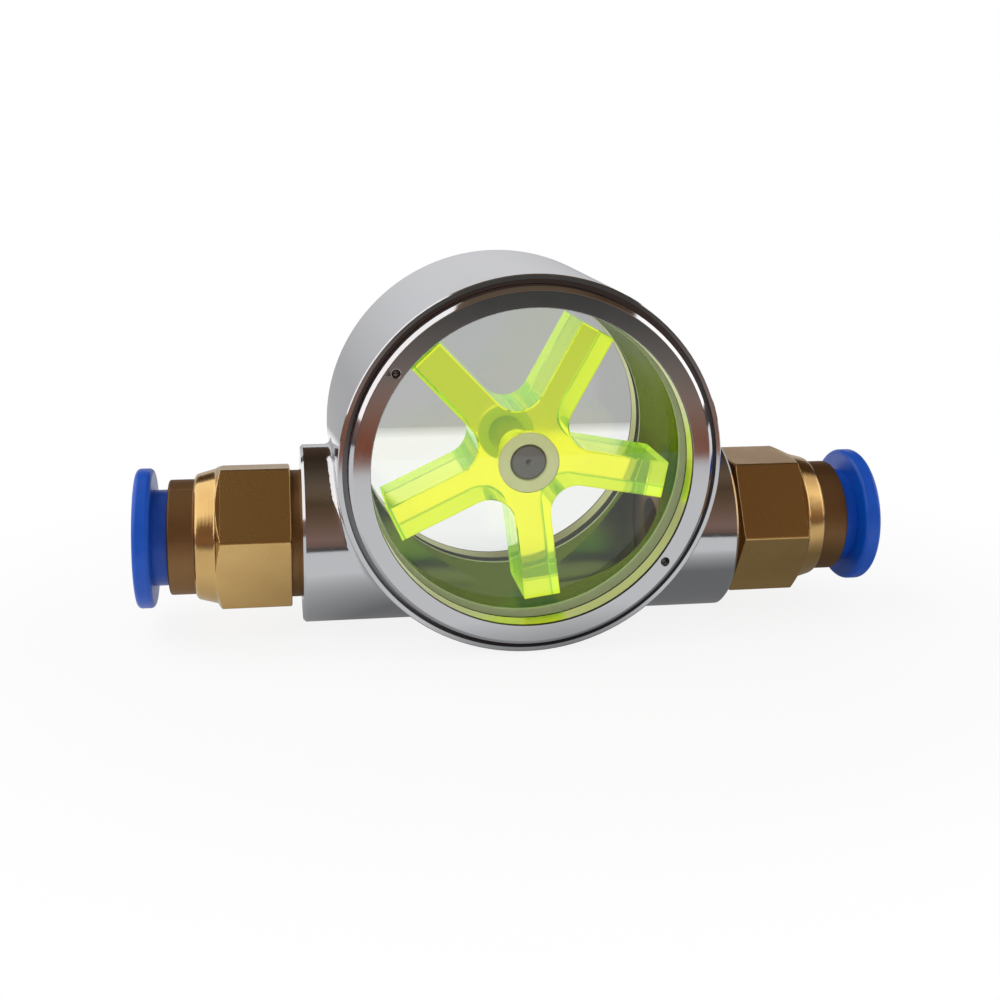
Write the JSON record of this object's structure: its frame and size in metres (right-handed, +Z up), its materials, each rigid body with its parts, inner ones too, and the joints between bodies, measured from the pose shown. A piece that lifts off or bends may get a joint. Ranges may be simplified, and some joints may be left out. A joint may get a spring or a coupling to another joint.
{
  "type": "flow indicator",
  "caption": "Short windowed drum on a through pipe, in which running water turns a clear wheel, with a push-in tube fitting and release collet at each end.",
  "frame": {"origin": "middle of the drum, on its axis, which is also the middle of the whole box", "axes": "+X along the pipe to the right seen from the front, -Y out of the front window, +Z up, away from the pipe"},
  "size_m": [0.1164, 0.0364, 0.0568],
  "materials": {
    "chrome_plate": "polished",
    "clear_acrylic": "polished",
    "silicone": "matte",
    "black_rubber": "matte",
    "ivory_polymer": "satin",
    "stainless_steel": "turned",
    "fluorescent_acrylic": "moulded",
    "brass": "turned",
    "blue_acetal": "moulded"
  },
  "bodies": {
    "instrument": {"housing": "chrome_plate", "front_retaining_ring": "chrome_plate", "rear_retaining_ring": "chrome_plate", "front_window": "clear_acrylic", "rear_window": "clear_acrylic", "front_window_seal": "silicone", "rear_window_seal": "silicone", "front_slip_ring": "black_rubber", "rear_slip_ring": "black_rubber", "front_bush": "ivory_polymer", "rear_bush": "ivory_polymer", "left_fitting": "brass", "right_fitting": "brass", "left_tube_seal": "black_rubber", "right_tube_seal": "black_rubber", "left_backing_ring": "ivory_polymer", "right_backing_ring": "ivory_polymer", "left_grip_ring": "stainless_steel", "right_grip_ring": "stainless_steel"},
    "wheel": {"axle": "stainless_steel", "impeller": "fluorescent_acrylic"},
    "left_collet": {"left_release_collet": "blue_acetal"},
    "right_collet": {"right_release_collet": "blue_acetal"}
  },
  "joints": [
    {"name": "wheel_spin", "type": "hinge", "parent": "instrument", "child": "wheel", "pos_m": [0, 0, 0], "axis": [0, -1, 0], "continuous": true},
    {"name": "left_release", "type": "slide", "parent": "instrument", "child": "left_collet", "axis": [1, 0, 0], "range_m": [0, 0.0015]},
    {"name": "right_release", "type": "slide", "parent": "instrument", "child": "right_collet", "axis": [-1, 0, 0], "range_m": [0, 0.0015]}
  ]
}
